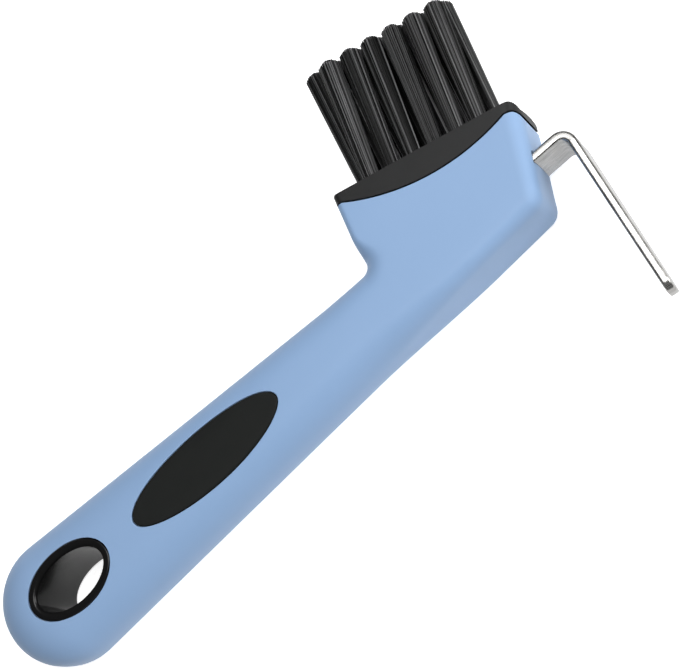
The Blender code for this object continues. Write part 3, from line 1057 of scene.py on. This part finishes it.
@dataclass
class Bristles:
    """The nylon tufts and the wire anchors at their feet."""

    seat: Seat
    rows: tuple[Row, ...] = (
        Row("upper", 1, 6, 0.0348, 2.6, 2.6),
        Row("middle", 0, 7, 0.0364, -2.0, -0.8),
        Row("lower", -1, 6, 0.0348, -1.0, 1.0),
    )
    pitch: float = 0.00605
    middle: float = 0.0254
    row_spacing: float = 0.0062
    hole_radius: float = 0.0024
    hole_depth: float = 0.0090
    filaments: int = 110
    filament_radius: float = 0.00016
    foot_radius: float = 0.00185
    top_radius: float = 0.00272
    sunk: float = 0.0040
    dome: float = 0.0016
    splay: float = 0.00010
    bow: float = 0.0003
    filament_sides: int = 6
    filament_steps: int = 3
    hole_sides: int = 24
    hole_reach: float = 0.0040
    waves_across: float = 420.0
    waves_along: float = 25.0

    def places(self, row: Row) -> Iterator[tuple[int, Matrix]]:
        """Where the tufts of a row stand.

        Args:
            row: the row.

        Yields:
            The number and own axes of each tuft.
        """
        for i in range(row.count):
            along = self.middle + self.pitch * (i - (row.count - 1) / 2)
            yield i + 1, self.seat.frame_at(along, row.side * self.row_spacing, row.lean(i))

    def holes(self) -> Iterator[bpy.types.Mesh]:
        """Cutters for the blind holes in the brush block.

        Yields:
            A round cutter for each tuft.
        """
        size = Vector((self.hole_radius, self.hole_radius))
        for row in self.rows:
            for _, place in self.places(row):
                levels = -self.hole_depth, self.hole_reach
                hole = loft("hole", [oval(size, z, self.hole_sides) for z in levels])
                hole.transform(place)
                yield hole

    def _tree(self) -> bpy.types.NodeTree:
        """The node tree of one tuft: filaments that rise from a packed foot to a wider domed top.

        Returns:
            The tree, with a named input for each of the tuft's sizes.
        """
        tree = bpy.data.node_groups.new("tuft_of_filaments", "GeometryNodeTree")
        kinds = {"Filaments": "Int", "Seed": "Int", "Material": "Material"}
        for name in ("Filaments", "Filament Radius", "Foot Radius", "Top Radius", "Height", "Sunk",
                     "Dome", "Splay", "Bow", "Seed", "Material"):
            kind = f"NodeSocket{kinds.get(name, 'Float')}"
            tree.interface.new_socket(name, in_out="INPUT", socket_type=kind)
        tree.interface.new_socket("Geometry", in_out="OUTPUT", socket_type="NodeSocketGeometry")
        wiring = Wiring(tree)
        given = wiring.add("NodeGroupInput").outputs
        foot, rise = self._ends(wiring, given)
        length = wiring.add("ShaderNodeVectorMath", {0: rise}, operation="LENGTH").outputs["Value"]
        points = wiring.add("GeometryNodePoints", {
            "Count": given["Filaments"], "Position": foot,
        }).outputs[0]
        rod = wiring.add("GeometryNodeMeshCylinder", {
            "Vertices": self.filament_sides, "Side Segments": self.filament_steps, "Fill Segments": 1,
            "Radius": given["Filament Radius"], "Depth": 1.0,
        }).outputs["Mesh"]
        rod = wiring.add("GeometryNodeTransform", {
            "Geometry": rod, "Translation": (0.0, 0.0, 0.5),
        }).outputs[0]
        turned = wiring.add("FunctionNodeAlignRotationToVector", {"Vector": rise}, axis="Z").outputs[0]
        stood = wiring.add("GeometryNodeInstanceOnPoints", {
            "Points": points, "Instance": rod, "Rotation": turned,
            "Scale": wiring.combine(1.0, 1.0, length),
        }).outputs[0]
        # Each filament gets a random share of the painted glint, a highlight that the nylon finish lays
        # into its colour.
        index = wiring.add("GeometryNodeInputIndex").outputs[0]
        glint = self._random(wiring, "FLOAT", (0.0, 1.0), given["Seed"], index)
        marked = wiring.add("GeometryNodeStoreNamedAttribute", {
            "Geometry": stood, "Name": GLINT, "Value": glint,
        }, data_type="FLOAT", domain="INSTANCE").outputs[0]
        real = wiring.add("GeometryNodeRealizeInstances", {"Geometry": marked}).outputs[0]
        bowed = wiring.add("GeometryNodeSetPosition", {
            "Geometry": real, "Offset": self._bowing(wiring, given),
        }).outputs[0]
        dressed = wiring.add("GeometryNodeSetMaterial", {
            "Geometry": bowed, "Material": given["Material"],
        }).outputs[0]
        wiring.add("NodeGroupOutput", {"Geometry": dressed})
        return tree

    def _ends(self, wiring: Wiring, given: bpy.types.NodeOutputs) -> tuple:
        """Where each filament stands, in a sunflower pattern.

        Args:
            wiring: the tree being built.
            given: the tree's inputs.

        Returns:
            The socket of each filament's foot, and the socket of its rise from there to its top.
        """
        golden_angle, whole_tuft = math.pi * (3 - math.sqrt(5)), 7
        index = wiring.add("GeometryNodeInputIndex").outputs[0]
        share = wiring.sum("DIVIDE", wiring.sum("ADD", index, 0.5), given["Filaments"])
        same = wiring.add("FunctionNodeInputInt", integer=whole_tuft).outputs[0]
        start = self._random(wiring, "FLOAT", (0.0, math.tau), given["Seed"], same)
        angle = wiring.sum("MULTIPLY_ADD", index, golden_angle, start)
        round_ = wiring.combine(wiring.sum("COSINE", angle), wiring.sum("SINE", angle), 0.0)
        flat = wiring.scaled(round_, wiring.sum("SQRT", share))
        bottom = wiring.combine(0.0, 0.0, wiring.sum("MULTIPLY", given["Sunk"], -1.0))
        foot = wiring.vector("ADD", wiring.scaled(flat, given["Foot Radius"]), bottom)
        level = wiring.sum("SUBTRACT", given["Height"], wiring.sum("MULTIPLY", share, given["Dome"]))
        raised = wiring.combine(0.0, 0.0, level)
        top = wiring.vector("ADD", wiring.scaled(flat, given["Top Radius"]), raised)
        aside = self._random(wiring, "FLOAT_VECTOR", ((-1.0,) * 3, (1.0,) * 3), given["Seed"], index)
        stray = wiring.scaled(aside, given["Splay"])
        return foot, wiring.vector("SUBTRACT", wiring.vector("ADD", top, stray), foot)

    @staticmethod
    def _random(wiring: Wiring, kind: str, limits: tuple, seed: object,
                number: bpy.types.NodeSocket) -> bpy.types.NodeSocket:
        """A seeded random value.

        Args:
            wiring: the tree being built.
            kind: FLOAT or FLOAT_VECTOR.
            limits: the least and the greatest value.
            seed: the seed.
            number: the number that the value belongs to.

        Returns:
            The random value's socket.
        """
        node = wiring.add("FunctionNodeRandomValue", {"Seed": seed, "ID": number}, data_type=kind)
        inputs = [socket for socket in node.inputs if socket.enabled]
        for socket, value in zip(inputs, limits):
            socket.default_value = value
        return next(socket for socket in node.outputs if socket.enabled)

    def _bowing(self, wiring: Wiring, given: bpy.types.NodeOutputs) -> bpy.types.NodeSocket:
        """The sideways offset that bends neighbouring filaments alike, more towards their tops.

        Args:
            wiring: the tree being built.
            given: the tree's inputs.

        Returns:
            The offset's socket.
        """
        seed_step = 3.7
        position = wiring.add("GeometryNodeInputPosition").outputs[0]
        waves = (self.waves_across, self.waves_across, self.waves_along)
        shift = wiring.combine(wiring.sum("MULTIPLY", given["Seed"], seed_step), 0.0, 0.0)
        shifted = wiring.vector("ADD", wiring.vector("MULTIPLY", position, waves), shift)
        noise = wiring.add("ShaderNodeTexNoise", {"Vector": shifted, "Scale": 1.0, "Detail": 1.0})
        centred = wiring.vector("SUBTRACT", noise.outputs["Color"], (0.5, 0.5, 0.5))
        sideways = wiring.vector("MULTIPLY", centred, (1.0, 1.0, 0.0))
        height = wiring.add("ShaderNodeSeparateXYZ", {0: position}).outputs["Z"]
        rising = wiring.sum("MAXIMUM", wiring.sum("DIVIDE", height, given["Height"]), 0.0)
        amount = wiring.sum("MULTIPLY", wiring.sum("MULTIPLY", rising, rising), given["Bow"])
        return wiring.scaled(sideways, amount)

    def _tuft(self, tree: bpy.types.NodeTree, height: float, seed: int) -> bpy.types.Mesh:
        """One tuft's mesh in its own axes.

        Args:
            tree: the tuft's node tree.
            height: how far it stands above the seat.
            seed: its random seed.

        Returns:
            The plain mesh.
        """
        values = {
            "Filaments": self.filaments, "Filament Radius": self.filament_radius,
            "Foot Radius": self.foot_radius, "Top Radius": self.top_radius, "Height": height,
            "Sunk": self.sunk, "Dome": self.dome, "Splay": self.splay, "Bow": self.bow, "Seed": seed,
            "Material": NYLON_BLACK.material(),
        }
        holder = bpy.data.objects.new("tuft", bpy.data.meshes.new("tuft"))
        bpy.context.scene.collection.objects.link(holder)
        step = holder.modifiers.new("filaments", "NODES")
        step.node_group = tree
        for item in tree.interface.items_tree:
            if item.in_out == "INPUT":
                step[item.identifier] = values[item.name]
        graph = bpy.context.evaluated_depsgraph_get()
        mesh = bpy.data.meshes.new_from_object(holder.evaluated_get(graph))
        holder.modifiers.clear()
        bpy.data.objects.remove(holder)
        return mesh

    def build(self, bench: Bench) -> None:
        """Builds each tuft and dresses its anchor.

        Args:
            bench: where the tufts are finished.
        """
        tree = self._tree()
        seed = 0
        for row in self.rows:
            for number, place in self.places(row):
                seed += 1
                tuft = self._tuft(tree, row.height, seed)
                tuft.transform(place)
                bench.finish(f"bristles_{row.name}_{number}", shade(tuft, 50), NYLON_BLACK,
                             f"tuft_{row.name}_{number}")
                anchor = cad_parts[f"anchor_{row.name}_{number}"]
                for slot in anchor.material_slots:
                    slot.material = ANCHOR_BRASS.material()


@dataclass
class BrushBlock:
    """The stiff black core: the block under the tufts and the spine hidden in the handle."""

    form: BodyForm
    pick: SteelPick
    bristles: Bristles
    parting_radius: float = 0.0577
    parting_middle: float = 0.0244
    parting_depth: float = 0.0072
    parting_half_gap: float = 0.00022
    band: float = 0.0026
    drop_from: float = 0.02387
    drop_round: float = 0.0022
    drop_turn: float = math.radians(75.0)
    drop_reach: float = 0.0030
    drop_steps: int = 12
    parting_steps: int = 80
    zone_half_length: float = 0.032
    zone_height: float = 0.030
    spine_half: float = 0.0065
    spine_inset: float = 0.0044
    spine_start: float = 0.0175
    spine_foot: float = 0.0008
    spine_corner: float = 1.25
    spine_shortfall: float = 0.0030
    below_seat: float = 0.0020
    root_half: float = 0.0093
    root_depth: float = 0.0108
    root_inset: float = 0.0035
    root_shortfall: float = 0.0015

    def zone(self, grow: float) -> bpy.types.Mesh:
        """Everything above the curved parting surface.

        Args:
            grow: how far the surface is moved down into the handle.

        Returns:
            The space as one block.
        """
        seat = self.form.seat
        radius = self.parting_radius + grow
        centre_up = self.parting_radius - self.parting_depth
        band = self.band + grow
        half = math.acos((centre_up + band) / radius)
        corners = [(-self.zone_half_length, -band)]
        for i in range(self.parting_steps + 1):
            turn = half * (2 * i / self.parting_steps - 1)
            corners.append((radius * math.sin(turn), centre_up - radius * math.cos(turn)))
        drop, drop_level = self.drop_round - grow, -self.band - self.drop_round
        for i in range(self.drop_steps + 1):
            turn = self.drop_turn * i / self.drop_steps
            corners.append((self.drop_from + drop * math.sin(turn), drop * math.cos(turn) + drop_level))
        along, up = corners[-1]
        foot = up - math.sin(self.drop_turn) * self.drop_reach
        corners += [(along + math.cos(self.drop_turn) * self.drop_reach, foot),
                    (self.zone_half_length, foot), (self.zone_half_length, self.zone_height),
                    (-self.zone_half_length, self.zone_height)]
        outline = [seat.point(self.parting_middle + along, up) for along, up in corners]
        return prism("zone", outline, -PAST, PAST)

    def spine(self, grow: float) -> bpy.types.Mesh:
        """The hidden spine: the body's own corners, drawn in.

        Args:
            grow: how much larger it is all round.

        Returns:
            The spine as one block.
        """
        form, seat = self.form, self.form.seat
        inset = self.spine_inset - grow
        neck, _, _, bottom = form.corners()
        tail, head_top = Vector(form.tail_centre), -self.below_seat + grow
        slope = (bottom - tail + Vector((0, form.tail_radius))).normalized()
        low_front = bottom + Vector((-inset * self.spine_corner, inset))
        start = self.spine_start - grow
        low_start = low_front - slope * ((low_front.x - start) / slope.x)
        high_front = seat.point(seat.length - inset - self.spine_shortfall, head_top)
        front_foot = low_front + Vector((math.tan(form.front_lean), 1)) * self.spine_foot
        neck_inside = neck + Vector((inset, -inset))
        rise = (form.tail_radius - (neck.y - tail.y)) / (neck.x - tail.x)
        high_start = neck_inside + Vector((-1, rise)) * (neck_inside.x - start)
        outline = [low_start, low_front, front_foot, high_front, seat.point(inset, head_top),
                   neck_inside, high_start]
        half = self.spine_half + grow
        return prism("spine", outline, -half, half)

    def root(self, grow: float) -> bpy.types.Mesh:
        """The wider part round the feet of the tufts, hidden under the soft sides.

        Args:
            grow: how much larger it is all round.

        Returns:
            The root as one block.
        """
        seat = self.form.seat
        rear, front = self.root_inset - grow, seat.length - self.root_inset - self.root_shortfall + grow
        low, high = -self.root_depth - grow, -self.below_seat + grow
        return seat.block(rear, front, low, high, self.root_half + grow)

    def mesh(self) -> bpy.types.Mesh:
        """The block, spine and root.

        Returns:
            One solid, with the tang's slot and the tufts' holes.
        """
        shape = Shape(self.form.mesh())
        shape.work(Operation.CUT, self.form.seat.cutter())
        shape.work(Operation.KEEP, self.zone(-self.parting_half_gap))
        shape.work(Operation.JOIN, self.spine(0), self.root(0))
        shape.work(Operation.CUT, self.pick.core_slot(), *self.bristles.holes())
        return shape.finished("brush_block")

    def build(self, bench: Bench) -> None:
        """Builds and dresses the block."""
        bench.finish("brush_block", shade(self.mesh(), 30), BLOCK_BLACK, "brush_core")


@dataclass
class HangEyelet:
    """The oval bush that lines the hanging hole."""

    half_height: float
    hole: Pair = (0.0107, 0.0062)
    wall: float = 0.0013
    flange: float = 0.0022
    flange_depth: float = 0.0018
    outer_round: float = 0.0005
    lip_round: float = 0.0010
    outer_steps: int = 6
    lip_steps: int = 9
    sides: int = 96

    def _profile(self) -> list[Pair]:
        """The upper half of the section.

        Returns:
            Its points as (distance out from the hole, height).
        """
        top, step = self.half_height, self.half_height - self.flange_depth
        points = [(self.wall, 0.0), (self.wall, step), (self.flange, step)]
        for i in range(self.outer_steps + 1):
            turn = math.pi / 2 * i / self.outer_steps
            points.append((self.flange - self.outer_round * (1 - math.cos(turn)),
                           top - self.outer_round * (1 - math.sin(turn))))
        for i in range(self.lip_steps + 1):
            turn = math.pi / 2 * i / self.lip_steps
            points.append((self.lip_round * (1 - math.sin(turn)),
                           top - self.lip_round * (1 - math.cos(turn))))
        return points + [(0.0, 0.0)]

    def mesh(self) -> bpy.types.Mesh:
        """The bush.

        Returns:
            A closed ring, its flanges rounded outside and rolled into the hole.
        """
        upper = self._profile()
        loop = upper + [(out, -z) for out, z in reversed(upper[1:-1])]
        hole = Vector(self.hole)
        rings = [oval(grown(hole, out), z, self.sides) for out, z in loop]
        return loft("hang_eyelet", rings, Ends.JOINED)

    def space(self) -> bpy.types.Mesh:
        """The space that it takes in the handle.

        Returns:
            The space, open at both faces.
        """
        step = self.half_height - self.flange_depth - GAP
        wall, flange = self.wall + GAP, self.flange + GAP / 2
        hole = Vector(self.hole)
        rings = [(flange, -PAST), (flange, -step), (wall, -step),
                 (wall, step), (flange, step), (flange, PAST)]
        return loft("eyelet_space", [oval(grown(hole, out), z, self.sides) for out, z in rings])

    def build(self, bench: Bench) -> None:
        """Builds and dresses the eyelet."""
        bench.finish("oval_eyelet", shade(self.mesh(), 35), EYELET_BLACK, "hang_eyelet")


@dataclass
class GripPads:
    """The oval pads let into both sides of the grip."""

    form: BodyForm
    centre: Pair = (0.0468, 0.0004)
    size: Pair = (0.0242, 0.00705)
    turn: float = math.radians(0.8)
    depth: float = 0.0022
    edge: float = 0.00035
    groove: float = 0.00018
    flare: float = 0.00022
    ease_out: float = 0.35
    ease_down: float = 0.30
    mouth: float = 0.00002
    mouth_height: float = 0.0020
    sides: int = 144
    edge_steps: int = 5
    rings: int = 14

    def _ring(self, size: Vector, raise_by: float, face: Face) -> list[Vector]:
        """An oval ring that follows the handle's crowned face.

        Args:
            size: its half axes.
            raise_by: how far it lies above the face.
            face: which side of the tool.

        Returns:
            The points of the ring.
        """
        flat = oval(size, 0.0, self.sides, Vector(self.centre), self.turn)
        return [Vector((p.x, p.y, face.value * (self.form.height(p) + raise_by))) for p in flat]

    def _level(self, size: Vector, grow: float, face: Face) -> list[Vector]:
        """A flat ring at the bottom of the recess.

        Args:
            size: its half axes.
            grow: how far it lies below the pad's back.
            face: which side of the tool.

        Returns:
            The points of the ring.
        """
        z = self.form.half_thickness - self.depth - grow
        return oval(size, face.value * z, self.sides, Vector(self.centre), self.turn)

    def mesh(self, face: Face) -> bpy.types.Mesh:
        """One pad: a flat back, a rounded rim and a face crowned like the handle.

        Args:
            face: which side of the tool.

        Returns:
            The pad's mesh.
        """
        size = Vector(self.size)
        rings = [self._level(size, 0.0, face)]
        for i in range(self.edge_steps + 1):
            turn = math.pi / 2 * i / self.edge_steps
            inward = self.edge * (1 - math.cos(turn))
            below = self.edge * (1 - math.sin(turn))
            rings.append(self._ring(grown(size, -inward), -below, face))
        inner = grown(size, -self.edge)
        for i in range(1, self.rings):
            rings.append(self._ring(inner * (1 - i / self.rings), 0.0, face))
        return loft("grip_pad", rings)

    def recess(self, face: Face) -> bpy.types.Mesh:
        """The space that a pad takes in the handle, its mouth slightly eased.

        Args:
            face: which side of the tool.

        Returns:
            The space's mesh.
        """
        size = grown(Vector(self.size), self.groove)
        rings = [self._level(size, GAP, face), self._ring(size, -self.flare, face)]
        eased = grown(size, self.flare * self.ease_out)
        rings.append(self._ring(eased, -self.flare * self.ease_down, face))
        rings.append(self._ring(grown(size, self.flare), self.mouth, face))
        rings.append(self._ring(grown(size, self.flare * 2), self.mouth_height, face))
        return loft("recess", rings)

    def build(self, bench: Bench) -> None:
        """Builds and dresses both pads.

        Args:
            bench: where they are finished.
        """
        for face in Face:
            side = face.name.lower()
            pad = shade(self.mesh(face), 35)
            bench.finish(f"oval_pad_{side}", pad, PAD_BLACK, f"grip_pad_{side}")


@dataclass
class Handle:
    """The soft blue body moulded round the core, the eyelet, the pads and the pick."""

    form: BodyForm
    block: BrushBlock
    eyelet: HangEyelet
    pads: GripPads
    pick: SteelPick

    def mesh(self) -> bpy.types.Mesh:
        """The body.

        Returns:
            One solid, with a space for each piece that it holds.
        """
        block = self.block
        spaces = [block.zone(block.parting_half_gap), block.spine(GAP), block.root(GAP),
                  self.pick.slot(GAP), self.eyelet.space()]
        spaces += [self.pads.recess(face) for face in Face]
        return Shape(self.form.mesh()).work(Operation.CUT, *spaces).finished("soft_body")

    def build(self, bench: Bench) -> None:
        """Builds and dresses the handle."""
        bench.finish("soft_body", shade(self.mesh(), 30), SOFT_BLUE, "soft_handle")


# ---------------------------------------------------------------------------------------------
# Studio
# ---------------------------------------------------------------------------------------------


@dataclass(frozen=True)
class SoftBox:
    """A square studio light that faces the object."""

    name: str
    place: tuple[float, float, float]
    size: float
    power: float

    def build(self, aim: Vector) -> None:
        """Hangs the light and turns it to face a point.

        Args:
            aim: the point, which the light's place is measured from.
        """
        lamp = bpy.data.lights.new(self.name, "AREA")
        lamp.shape, lamp.size, lamp.energy = "SQUARE", self.size, self.power
        holder = bpy.data.objects.new(self.name, lamp)
        holder.location = aim + Vector(self.place)
        holder.rotation_euler = Vector(self.place).to_track_quat("Z", "Y").to_euler()
        bpy.context.scene.collection.objects.link(holder)


@dataclass
class Studio:
    """The floor, the lights and the camera round the object."""

    low: Vector
    high: Vector
    hang: Vector
    lens: float = 95.4
    sensor: float = 36.0
    clip: Pair = (0.01, 20.0)
    distance: float = 0.4475
    azimuth: float = 26.097
    elevation: float = 66.920
    roll: float = 65.40
    aim_offset: tuple[float, float, float] = (0.0907, 0.0058, 0.0)
    floor_radius: float = 1.6
    cove_radius: float = 0.8
    wall_top: float = 3.0
    middle_hole: float = 0.001
    cove_steps: int = 12
    stage_sides: int = 96
    floor_drop: float = 0.0002
    card_drop: float = 0.0005
    pale: float = 0.80
    matt: float = 0.90
    floor_glow: float = 0.80
    card_glow: float = 0.30
    sky: float = 0.15
    lights: tuple[SoftBox, ...] = (
        SoftBox("overhead_soft_box", (0.15, 0.00, 0.60), 0.34, 2.20),
        SoftBox("head_soft_box", (0.10, 0.47, 1.21), 0.42, 0.9),
        SoftBox("side_soft_box", (1.00, -0.35, 0.60), 0.60, 7.4),
    )

    def build(self) -> None:
        """Sets up the whole studio."""
        scene = bpy.context.scene
        scene.view_settings.view_transform = "Standard"
        middle = (self.low + self.high) / 2
        self._camera(scene)
        self._floor()
        self._sky(scene)
        for light in self.lights:
            light.build(middle)

    def _camera(self, scene: bpy.types.Scene) -> None:
        """Places the camera by its angles round a point that lies a fixed way from the hanging hole.

        Args:
            scene: the scene.
        """
        azimuth, elevation = math.radians(self.azimuth), math.radians(self.elevation)
        back = Vector((math.sin(azimuth) * math.cos(elevation),
                       -math.cos(azimuth) * math.cos(elevation), math.sin(elevation)))
        level = Vector((math.cos(azimuth), math.sin(azimuth), 0))
        right = Matrix.Rotation(-math.radians(self.roll), 3, back) @ level
        up = back.cross(right)
        lens = bpy.data.cameras.new("camera")
        lens.lens, lens.sensor_width = self.lens, self.sensor
        lens.clip_start, lens.clip_end = self.clip
        camera = bpy.data.objects.new("camera", lens)
        turn = Matrix((right, up, back)).transposed().to_4x4()
        eye = self.hang + Vector(self.aim_offset) + back * self.distance
        camera.matrix_world = Matrix.Translation(eye) @ turn
        scene.collection.objects.link(camera)
        scene.camera = camera

    def _floor(self) -> None:
        """Lays a pale floor that curves up into a wall, and a card whose light comes from below."""
        level = self.low.z - self.floor_drop
        profile = [(self.middle_hole, level), (self.floor_radius, level)]
        for i in range(1, self.cove_steps + 1):
            turn = math.pi / 2 * i / self.cove_steps
            profile.append((self.floor_radius + self.cove_radius * math.sin(turn),
                            level + self.cove_radius * (1 - math.cos(turn))))
        profile.append((self.floor_radius + self.cove_radius, self.wall_top))
        floor = self._round_stage("floor", profile, self.floor_glow)
        floor.visible_diffuse = floor.visible_glossy = floor.visible_shadow = False
        below = level - self.card_drop
        flat = [(self.middle_hole, below), (self.floor_radius, below)]
        card = self._round_stage("floor_card", flat, self.card_glow)
        card.visible_camera = card.visible_shadow = False

    def _round_stage(self, name: str, profile: Sequence[Pair], glow: float) -> bpy.types.Object:
        """A plain pale round surface under and round the object.

        Args:
            name: its name.
            profile: its section as (distance from the middle, height).
            glow: light of its own.

        Returns:
            The staged object.
        """
        bm = bmesh.new()
        sides = self.stage_sides
        around = [heading(math.tau * i / sides) for i in range(sides)]
        rings = []
        for radius, z in profile:
            rings.append([bm.verts.new((radius * flat.x, radius * flat.y, z)) for flat in around])
        bm.faces.new(rings[0])
        for inner, outer in zip(rings, rings[1:]):
            for i in range(sides):
                j = (i + 1) % sides
                bm.faces.new((inner[i], outer[i], outer[j], inner[j]))
        mesh = bpy.data.meshes.new(name)
        bm.to_mesh(mesh)
        bm.free()
        mesh.shade_smooth()
        material = bpy.data.materials.new(name)
        material.use_nodes = True
        shader = material.node_tree.nodes["Principled BSDF"].inputs
        shader["Base Color"].default_value = (self.pale,) * 3 + (1.0,)
        shader["Roughness"].default_value = self.matt
        shader["Specular IOR Level"].default_value = 0.0
        shader["Emission Color"].default_value = (1.0, 1.0, 1.0, 1.0)
        shader["Emission Strength"].default_value = glow
        mesh.materials.append(material)
        stage = bpy.data.objects.new(name, mesh)
        bpy.context.scene.collection.objects.link(stage)
        return stage

    def _sky(self, scene: bpy.types.Scene) -> None:
        """Surrounds the studio with even light.

        Args:
            scene: the scene.
        """
        world = bpy.data.worlds.new("studio_air")
        world.use_nodes = True
        air = world.node_tree.nodes["Background"].inputs
        air["Color"].default_value = (1.0, 1.0, 1.0, 1.0)
        air["Strength"].default_value = self.sky
        scene.world = world


def main() -> None:
    """Builds the studio and every piece, in order."""
    logging.basicConfig(level=logging.INFO, format="%(name)s %(message)s")
    low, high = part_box("hang_eyelet")
    hang = (low + high) / 2
    Studio(CAD_LOW, CAD_HIGH, hang).build()
    bench = Bench(Matrix.Translation(hang))
    seat = Seat()
    form = BodyForm(seat)
    pick, bristles = SteelPick(), Bristles(seat)
    block = BrushBlock(form, pick, bristles)
    eyelet, pads = HangEyelet(form.half_thickness), GripPads(form)
    handle = Handle(form, block, eyelet, pads, pick)
    for assembly in (handle, block, eyelet, pads, pick, bristles):
        assembly.build(bench)


if __name__ == "__main__":
    main()
